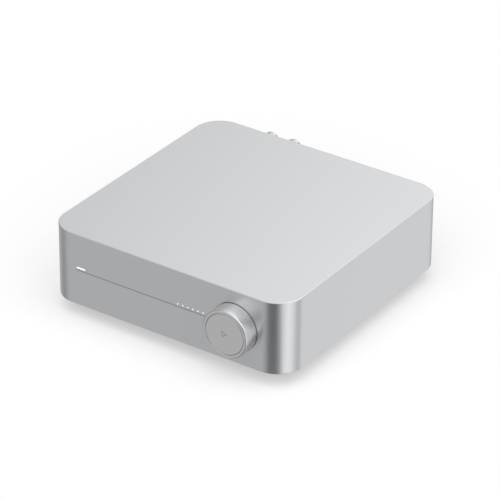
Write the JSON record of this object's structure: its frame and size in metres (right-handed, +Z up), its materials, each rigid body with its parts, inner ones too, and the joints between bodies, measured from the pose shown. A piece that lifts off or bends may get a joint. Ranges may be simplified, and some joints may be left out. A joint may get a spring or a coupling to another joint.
{
  "type": "network music streamer",
  "caption": "Low square aluminium network music streamer with built-in amplifier: front volume ring with play button, status lamps, and rear speaker, line and network sockets.",
  "frame": {"origin": "centre of the round rubber pad's flat face, on the surface that the object stands on", "axes": "+Z up, +Y to the rear with the sockets, +X to the right seen from the front"},
  "size_m": [0.19, 0.2228, 0.063],
  "materials": {
    "case_aluminium": "fine bead-blasted, clear anodised",
    "knob_aluminium": "turned, clear anodised, satin",
    "base_plastic": "fine moulded grain",
    "foot_rubber": "matt",
    "panel_plastic": "fine moulded grain",
    "black_plastic": "smooth satin",
    "white_plastic": "smooth",
    "red_plastic": "smooth",
    "light_plastic": "clear light guide, lit white from behind",
    "gold_plate": "pale gold plated, fluted grips",
    "nickel_plate": "nickel plated",
    "screw_steel": "zinc plated",
    "black_screw_steel": "black oxide",
    "socket_steel": "tin plated",
    "board_laminate": "solder mask on glass laminate",
    "chip_resin": "moulded",
    "sink_aluminium": "extruded, plain",
    "can_sleeve": "shrunk sleeve",
    "ferrite_core": "ferrite",
    "lead_sleeve": "extruded sleeve"
  },
  "bodies": {
    "root": {"case_shell": "case_aluminium", "base_tray": "base_plastic", "foot_pad": "foot_rubber", "base_screws": "black_screw_steel", "encoder_housing": "socket_steel", "encoder_base": "chip_resin", "encoder_nut": "nickel_plate", "button_switch": "chip_resin", "light_guides": "light_plastic", "light_baffle": "black_plastic", "front_boards": "board_laminate", "light_chips": "white_plastic", "small_screws": "screw_steel", "rear_panel": "panel_plastic", "post_studs": "gold_plate", "post_collars_plus": "red_plastic", "post_collars_minus": "black_plastic", "post_nuts": "nickel_plate", "phono_sleeves": "gold_plate", "phono_core_white": "white_plastic", "phono_core_red": "red_plastic", "phono_core_black": "black_plastic", "phono_block": "black_plastic", "tv_socket": "socket_steel", "tv_tongue": "black_plastic", "media_socket": "socket_steel", "media_tongue": "black_plastic", "network_socket": "black_plastic", "network_contacts": "gold_plate", "optical_socket": "black_plastic", "power_inlet": "black_plastic", "power_pins": "nickel_plate", "main_board": "board_laminate", "power_board": "board_laminate", "board_screws": "screw_steel", "streaming_board": "board_laminate", "module_spacers": "nickel_plate", "radio_shield": "socket_steel", "amplifier_chip": "chip_resin", "heatsink": "sink_aluminium", "output_chokes": "ferrite_core", "capacitors": "can_sleeve", "transformer": "ferrite_core", "antennas": "board_laminate", "mains_leads": "lead_sleeve", "ribbon": "lead_sleeve"},
    "volume_dial": {"volume_ring": "knob_aluminium", "encoder_shaft": "socket_steel"},
    "play_button": {"play_button": "knob_aluminium", "button_clip": "screw_steel", "switch_plunger": "black_plastic"},
    "optical_shutter": {"optical_shutter": "black_plastic"},
    "washer_left_plus": {"clamp_washer_left_plus": "gold_plate"},
    "cap_left_plus": {"post_cap_left_plus": "gold_plate"},
    "washer_right_plus": {"clamp_washer_right_plus": "gold_plate"},
    "cap_right_plus": {"post_cap_right_plus": "gold_plate"},
    "washer_left_minus": {"clamp_washer_left_minus": "gold_plate"},
    "cap_left_minus": {"post_cap_left_minus": "gold_plate"},
    "washer_right_minus": {"clamp_washer_right_minus": "gold_plate"},
    "cap_right_minus": {"post_cap_right_minus": "gold_plate"}
  },
  "joints": [
    {"name": "volume_turn", "type": "hinge", "parent": "root", "child": "volume_dial", "pos_m": [0.0556, -0.095, 0.0366], "axis": [0, 1, 0], "continuous": true},
    {"name": "play_press", "type": "slide", "parent": "root", "child": "play_button", "axis": [0, 1, 0], "range_m": [0, 0.0006], "stiffness_N_per_m": 400, "springref_m": -0.002},
    {"name": "optical_flap", "type": "hinge", "parent": "root", "child": "optical_shutter", "pos_m": [0.0102, 0.0933, 0.02775], "axis": [-1, 0, 0], "range_deg": [0, 88], "stiffness_Nm_per_rad": 0.0001, "springref_deg": -20.05},
    {"name": "clamp_travel_left_plus", "type": "slide", "parent": "root", "child": "washer_left_plus", "axis": [0, 1, 0], "range_m": [0, 0.004]},
    {"name": "clamp_turn_left_plus", "type": "hinge", "parent": "washer_left_plus", "child": "cap_left_plus", "pos_m": [-0.0587, 0.105, 0.0461], "axis": [0, 1, 0], "range_deg": [0, 1440]},
    {"name": "clamp_travel_right_plus", "type": "slide", "parent": "root", "child": "washer_right_plus", "axis": [0, 1, 0], "range_m": [0, 0.004]},
    {"name": "clamp_turn_right_plus", "type": "hinge", "parent": "washer_right_plus", "child": "cap_right_plus", "pos_m": [-0.0397, 0.105, 0.0461], "axis": [0, 1, 0], "range_deg": [0, 1440]},
    {"name": "clamp_travel_left_minus", "type": "slide", "parent": "root", "child": "washer_left_minus", "axis": [0, 1, 0], "range_m": [0, 0.004]},
    {"name": "clamp_turn_left_minus", "type": "hinge", "parent": "washer_left_minus", "child": "cap_left_minus", "pos_m": [-0.0587, 0.105, 0.0271], "axis": [0, 1, 0], "range_deg": [0, 1440]},
    {"name": "clamp_travel_right_minus", "type": "slide", "parent": "root", "child": "washer_right_minus", "axis": [0, 1, 0], "range_m": [0, 0.004]},
    {"name": "clamp_turn_right_minus", "type": "hinge", "parent": "washer_right_minus", "child": "cap_right_minus", "pos_m": [-0.0397, 0.105, 0.0271], "axis": [0, 1, 0], "range_deg": [0, 1440]}
  ],
  "couplings": [
    {"joint": "clamp_turn_left_plus", "follows": "clamp_travel_left_plus", "rad_per_m": 6283.2},
    {"joint": "clamp_turn_right_plus", "follows": "clamp_travel_right_plus", "rad_per_m": 6283.2},
    {"joint": "clamp_turn_left_minus", "follows": "clamp_travel_left_minus", "rad_per_m": 6283.2},
    {"joint": "clamp_turn_right_minus", "follows": "clamp_travel_right_minus", "rad_per_m": 6283.2}
  ]
}
